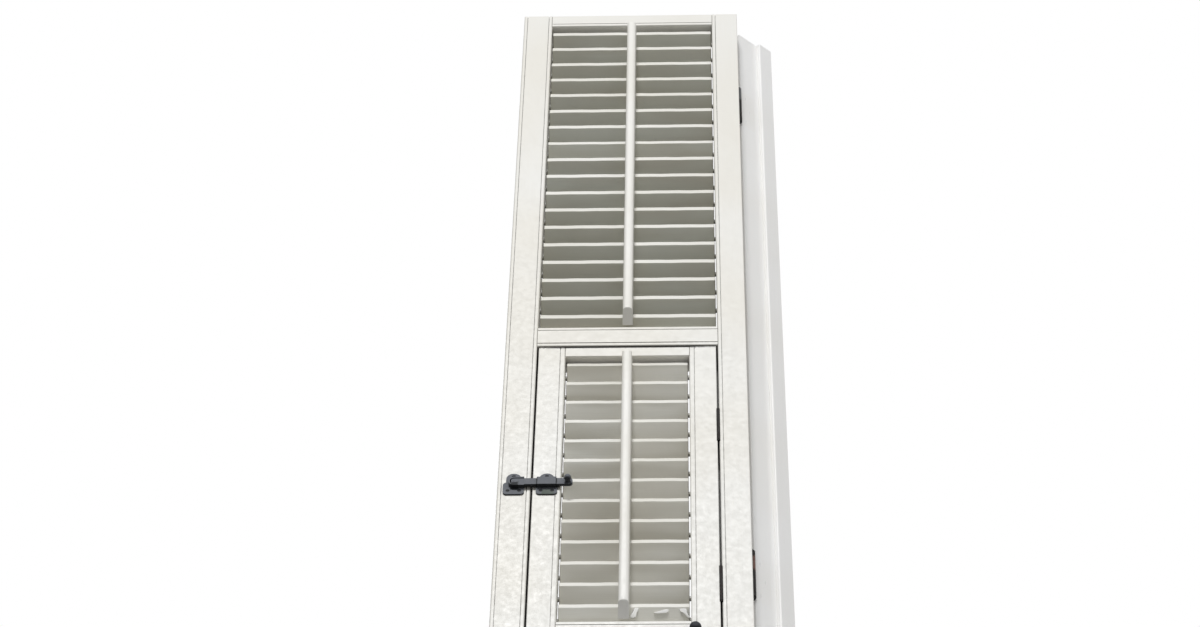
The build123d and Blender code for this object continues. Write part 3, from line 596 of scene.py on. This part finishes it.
def smearSkin(corners, tilt, centre):
    # The corners are cut twice at a quarter and three quarters of each side, which leaves a smooth
    # outline. Rings run from inside the board to the rim and up onto the sloping face.
    outline = np.array(corners, float) * mm
    for _ in range(smears["cuts"]):
        ahead = np.roll(outline, -1, 0)
        outline = np.stack([0.75 * outline + 0.25 * ahead, 0.25 * outline + 0.75 * ahead],
                           1).reshape(-1, 2)
    middle = outline.mean(0)
    rings = []
    for share, lift in ((1.0, None), *smears["rings"]):
        x, towards = (middle + share * (outline - middle)).T
        fall = smears["slope"] * (outline[:, 1].max() - towards)
        out = -smears["sink"] if lift is None else lift * (smears["rim"] + fall)
        rise = -slat["halfThick"] - out + 0 * x
        rings.append(np.stack([x, -towards, rise], -1))
    return capped(tilted(np.stack(rings), tilt, centre))


def buildSmears():
    values, name = bays["lower"], "lower_slat_13"
    skins = [smearSkin(outline, values["tilt"], pivotOf(name)) for outline in smears["outlines"]]
    makePiece("paint_smears", skins, smearPaint, name)
    print("paint smears built")


def buildSlats():
    for bay, values in bays.items():
        for number in range(1, values["count"] + 1):
            name = f"{bay}_slat_{number:02d}"
            lowEnd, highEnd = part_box(name)
            length = highEnd.x - lowEnd.x - 2 * (values["endGap"] + slat["pinLength"])
            slip = values["slip"] if number == values["slipped"] else 0.0
            seed = number + (slat["lowerSeed"] if bay == "lower" else 0.0)
            skins = slatSkins(length, values["endGap"], values["tilt"], slip, pivotOf(name), seed)
            makePiece(name + "_board", skins, slatPaint[bay], name, [name])
    print("slats built")


rod = {
    "halfBack": 9.0 * mm, "halfFront": 8.2 * mm, "sideDepth": 18.5 * mm, "depth": 23.0 * mm,
    "frontBlunt": 3.2, "bevel": 21.5 * mm, "backGap": 3.0 * mm, "arris": 0.6 * mm,
    "chamfer": 0.15 * mm,
    # each wave of the front: its length in metres and its share, held inside the solid by the
    # last value, and its shift in each rod
    "frontWave": 0.25 * mm, "waves": ((0.23, 1.0), (0.087, 0.5)), "waveInward": 1.5,
    "waveShift": {"upper": 0.3, "lower": 0.8},
    # the rounded top: its height, and how far the two last rings are drawn in
    "topRound": 1.0 * mm, "topShrink": (0.97, 0.9), "topRing": 0.3, "topCentre": 0.4,
    "bevelStart": 0.02, "bevelSteps": 26, "steps": 60,
    # the rod's top stands this far over the first slat's pivot, a little under the first staple
    "topOverPivot": {"upper": 10.5 * mm, "lower": 20.3 * mm},
    "stapleHalf": 4.0 * mm, "stapleBend": 1.6 * mm, "stapleWire": 0.9 * mm,
    "stapleBite": 4.0 * mm, "sharpAbove": 28.0,
}


def rodSection():
    # Half a turn of the outline from the middle of the back, as (x, depth) rows: half the back,
    # one leaning side, then a quarter of the superellipse
    # (x / half front)^n + ((depth - side depth) / (full depth - side depth))^2 = 1.
    back = np.linspace(0, rod["halfBack"] - rod["arris"], 4)[:-1]
    lean = np.linspace(0.06, 1, 6)[:-1]
    sideX = rod["halfBack"] + (rod["halfFront"] - rod["halfBack"]) * lean
    turn = np.linspace(0, np.pi / 2, 15)
    crownX = rod["halfFront"] * np.cos(turn) ** (2 / rod["frontBlunt"])
    crown = rod["sideDepth"] + (rod["depth"] - rod["sideDepth"]) * np.sin(turn)
    crownX[-1] = 0.0
    x = np.concatenate([back, [rod["halfBack"] - rod["chamfer"]], sideX, crownX])
    depth = np.concatenate([0 * back, [rod["chamfer"]], rod["sideDepth"] * lean, crown])
    return (np.concatenate([x, -x[-2:0:-1]]), np.concatenate([depth, depth[-2:0:-1]]))


def rodSkin(middleX, backY, foot, top, shift):
    # The section carried up Z: depth(z) is the section's depth, held below the bevel plane
    # depth = section depth * (z - foot) / bevel height; the crown wanders inwards by sine waves.
    x, depth = rodSection()
    cut = np.linspace(rod["bevelStart"], 1, rod["bevelSteps"])[:-1] * rod["bevel"]
    height = top - foot
    rise = np.concatenate([cut, np.linspace(rod["bevel"], height - rod["topRound"], rod["steps"]),
                           [height - rod["topRing"] * rod["topRound"], height]])
    held = rod["depth"] * rise / rod["bevel"]
    (long, longShare), (short, shortShare) = rod["waves"]
    wave = (longShare * np.sin(2 * np.pi * (rise / long + shift)) +
            shortShare * np.sin(2 * np.pi * rise / short) - rod["waveInward"])
    d = np.minimum(depth + rod["frontWave"] * wave[:, None] * (depth > rod["sideDepth"]),
                   held[:, None])
    shrink = np.ones(len(rise))
    shrink[-2:] = rod["topShrink"]
    centreDepth = rod["depth"] * rod["topCentre"]
    xs = x * shrink[:, None] + middleX
    ys = backY - (centreDepth + (d - centreDepth) * shrink[:, None])
    zs = np.repeat((foot + rise)[:, None], len(x), 1)
    return capped(np.stack([xs, ys, zs], -1))


def staplePath(middle, backY, eyeY):
    # a leg, a quarter bend, the bar, a quarter bend and a leg, in the plane z = constant
    bend = np.linspace(0, np.pi / 2, 4)
    half, r = rod["stapleHalf"], rod["stapleBend"]
    cornerX = -half + r - r * np.cos(bend)
    cornerY = eyeY - r + r * np.sin(bend)
    x = np.concatenate([[-half], cornerX, -cornerX[::-1], [half]])
    y = np.concatenate([[backY - rod["stapleBite"]], cornerY, cornerY[::-1],
                        [backY - rod["stapleBite"]]])
    return np.stack([middle[0] + x, y, np.full(len(x), middle[2])], -1)


def buildRods():
    for bay, values in bays.items():
        name = bay + "_tilt_rod"
        lowEnd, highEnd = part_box(name)
        middleX = (lowEnd.x + highEnd.x) / 2
        angle = math.radians(values["tilt"])
        skins, backY = [], 0.0
        for number in range(1, values["count"] + 1):
            pivot = pivotOf(f"{bay}_slat_{number:02d}")
            eyeY = pivot[1] - slat["eyeReach"] * math.cos(angle)
            eyeZ = pivot[2] + slat["eyeReach"] * math.sin(angle)
            backY = eyeY - rod["backGap"]
            skins.append(capped(wire(staplePath((middleX, 0, eyeZ), backY, eyeY),
                                     rod["stapleWire"])))
        top = pivotOf(f"{bay}_slat_01")[2] + rod["topOverPivot"][bay]
        skins.append(rodSkin(middleX, backY, lowEnd.z, top, rod["waveShift"][bay]))
        makePiece(name + "_stick", skins, rodPaint, name, [name],
                  sharpAbove=rod["sharpAbove"])
    print("tilt rods built")


# Angles in radians from the end of each knob's axis say where its round head starts and ends.
boltKnob = {"radius": 6.0 * mm, "neck": 3.0 * mm, "collar": 3.9 * mm, "headEnd": np.pi - 0.25,
            "headSteps": 18, "collarBack": 1.2 * mm,
            # the collar's edges along the axis, from its middle
            "collarEdges": (-0.9 * mm, -0.5 * mm, 0.3 * mm, 0.7 * mm)}
pullKnob = {"radius": 9.5 * mm, "reach": 20.0 * mm, "base": 7.2 * mm, "waist": 4.3 * mm,
            "shank": 2.5 * mm, "shankLength": 11.0 * mm,
            "head": (0.62, 2.75, 16), "headDepth": 0.98, "headCentre": 0.9,
            "waistStart": 2.0 * mm, "waistEnd": 1.62, "waistSteps": 8, "waistBase": 0.82,
            # the rose's profile: reach, and share of the base's radius
            "rose": ((0.0, 0.96), (0.4 * mm, 1.0), (1.3 * mm, 1.0), (1.8 * mm, 0.9))}


def buildKnobs():
    # Both are lathe profiles of (reach, radius): the bolt's knob is a neck with a collar and a
    # ball, the pull is a rose, a hollow waist that follows a cosine, and a flattened round head.
    lowEnd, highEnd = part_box("latch_knob")
    centre = ((lowEnd.x + highEnd.x) / 2, highEnd.y, (lowEnd.z + highEnd.z) / 2)
    reach = highEnd.y - lowEnd.y
    r = boltKnob["radius"]
    start = math.asin(boltKnob["neck"] / r)
    ball = np.linspace(start, boltKnob["headEnd"], boltKnob["headSteps"])
    ballRows = np.stack([reach - r - r * np.cos(ball), r * np.sin(ball)], -1)
    collarAt = ballRows[0, 0] - boltKnob["collarBack"]
    collarRadii = [boltKnob[key] for key in ("neck", "collar", "collar", "neck")]
    neckRows = [(0, boltKnob["neck"])] + [(collarAt + edge, radius) for edge, radius
                                          in zip(boltKnob["collarEdges"], collarRadii)]
    skin = capped(turned(np.concatenate([neckRows, ballRows]), centre))
    makePiece("bolt_knob", [skin], latchIron, "latch_bolt", ["latch_knob"])

    lowEnd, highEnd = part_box("panel_pull_knob")
    lengthIn = pullKnob["shankLength"]
    centre = ((lowEnd.x + highEnd.x) / 2, highEnd.y - lengthIn, (lowEnd.z + highEnd.z) / 2)
    r, reach, base = pullKnob["radius"], pullKnob["reach"], pullKnob["base"]
    steps, wide = pullKnob["waistSteps"], base * pullKnob["waistBase"]
    waistAt = np.linspace(pullKnob["waistStart"], reach - pullKnob["waistEnd"] * r, steps)
    blend = 0.5 - 0.5 * np.cos(np.linspace(0, 2 * np.pi, steps))
    waistRows = np.stack([waistAt, wide + (pullKnob["waist"] - wide) * blend], -1)
    head = np.linspace(*pullKnob["head"])
    headRows = np.stack([reach - pullKnob["headCentre"] * r -
                         pullKnob["headDepth"] * r * np.cos(head), r * np.sin(head)], -1)
    headRows[:, 0] = np.minimum(headRows[:, 0], reach)
    roseRows = [(out, base * share) for out, share in pullKnob["rose"]]
    rows = np.concatenate([[(-lengthIn, pullKnob["shank"]), (0, pullKnob["shank"])], roseRows,
                           waistRows, headRows])
    makePiece("pull_knob", [capped(turned(rows, centre))], pullIron, "panel",
              ["panel_pull_knob"])
    print("knobs built")


buildSlats()
buildSmears()
buildRods()
buildKnobs()

# The camera stands below the leaf and looks up at it, solved from the leaf's straight edges.
view = {
    "focal": 3200.0,  # pixels of a picture 1200 wide
    "width": 1200.0,
    "pitch": 49.711, "roll": 1.405, "yaw": -2.530,  # degrees
    "fromCorner": (321.16 * mm, -3604.06 * mm, -5157.90 * mm),
    "sensor": 36.0, "clipEnd": 60.0,
}
low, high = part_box("free_stile")
leafCorner = Vector((low.x, low.y, high.z))
pitch, roll, yaw = (math.radians(view[key]) for key in ("pitch", "roll", "yaw"))
ahead = Vector((math.sin(yaw) * math.cos(pitch), math.cos(yaw) * math.cos(pitch), math.sin(pitch)))
level = Vector((math.cos(yaw), -math.sin(yaw), 0))
above = level.cross(ahead)
right = level * math.cos(roll) + above * math.sin(roll)
up = above * math.cos(roll) - level * math.sin(roll)
camera = bpy.data.objects.new("Camera", bpy.data.cameras.new("Camera"))
scene.collection.objects.link(camera)
camera.data.sensor_width = view["sensor"]
camera.data.lens = view["sensor"] * view["focal"] / view["width"]
camera.data.clip_end = view["clipEnd"]
aim = Matrix((right, up, -ahead)).transposed().to_4x4()
camera.matrix_world = Matrix.Translation(leafCorner + Vector(view["fromCorner"])) @ aim
scene.camera = camera
print("camera placed at", tuple(round(v, 3) for v in camera.location))

studio = {
    # each lamp: watts on a square metre at the leaf, degrees from the front towards the left,
    # height in degrees, apparent size in degrees
    "Key": (2.3, 5.0, 36.0, 14.0),
    "Fill": (0.4, -50.0, 20.0, 40.0),
    "Back": (0.6, 160.0, 30.0, 40.0),
    "keyDistance": 18.0,  # near enough that the leaf's head is a little brighter than its foot
    "ambient": 0.13,
    "floorDrop": 5.0, "floorSize": 6.5, "floorColour": "#E6E5E1",
}
for name in ("Key", "Fill", "Back"):
    strength, fromLeft, height, apparent = studio[name]
    lampData = bpy.data.lights.new(name, "AREA" if name == "Key" else "SUN")
    lamp = bpy.data.objects.new(name, lampData)
    scene.collection.objects.link(lamp)
    side, rise = math.radians(fromLeft), math.radians(height)
    toLamp = Vector((-math.sin(side) * math.cos(rise), -math.cos(side) * math.cos(rise),
                     math.sin(rise)))
    lamp.rotation_mode = "QUATERNION"
    lamp.rotation_quaternion = toLamp.to_track_quat("Z", "Y")
    if name == "Key":
        # a disk of that apparent size; its power is pi times distance squared times the strength
        away = studio["keyDistance"]
        lampData.shape = "DISK"
        lampData.size = 2 * away * math.tan(math.radians(apparent / 2))
        lampData.energy = strength * math.pi * away ** 2
        lamp.location = (Vector(cadBox[0]) + Vector(cadBox[1])) / 2 + toLamp * away
        lamp.visible_camera = False
    else:
        lampData.energy = strength
        lampData.angle = math.radians(apparent)


def seenAsWhite(tree):
    # 1 for camera, glossy and see-through rays, which find plain white, and 0 for all others,
    # which find the dim surroundings
    path = add(tree, "LightPath")
    seen, glossy, through = (path.outputs[key] for key in
                             ("Is Camera Ray", "Is Glossy Ray", "Is Transmission Ray"))
    return times(tree, times(tree, seen, glossy, "MAXIMUM"), through, "MAXIMUM")


world = bpy.data.worlds.new("Studio")
world.use_nodes = True
scene.world = world
tree = world.node_tree
tree.nodes.clear()
output = add(tree, "OutputWorld")
dim = add(tree, "Background", {"Color": white, "Strength": studio["ambient"]})
bright = add(tree, "Background", {"Color": white, "Strength": 1.0})
mixed = add(tree, "MixShader", {0: seenAsWhite(tree), 1: dim.outputs[0], 2: bright.outputs[0]})
tree.links.new(mixed.outputs[0], output.inputs["Surface"])

half = studio["floorSize"] / 2
floorZ = cadBox[0][2] - studio["floorDrop"]
floorMesh = bpy.data.meshes.new("Floor")
floorMesh.from_pydata([(-half, -half, floorZ), (half, -half, floorZ), (half, half, floorZ),
                       (-half, half, floorZ)], [], [(0, 1, 2, 3)])
floor = bpy.data.objects.new("Floor", floorMesh)
scene.collection.objects.link(floor)
floorPaint, tree, output = newMaterial("Pale studio floor")
lit = add(tree, "BsdfDiffuse", {"Color": linear(studio["floorColour"])})
tree.links.new(lit.outputs[0], output.inputs["Surface"])
floorMesh.materials.append(floorPaint)
print("studio set")

scene.view_settings.view_transform = "Standard"
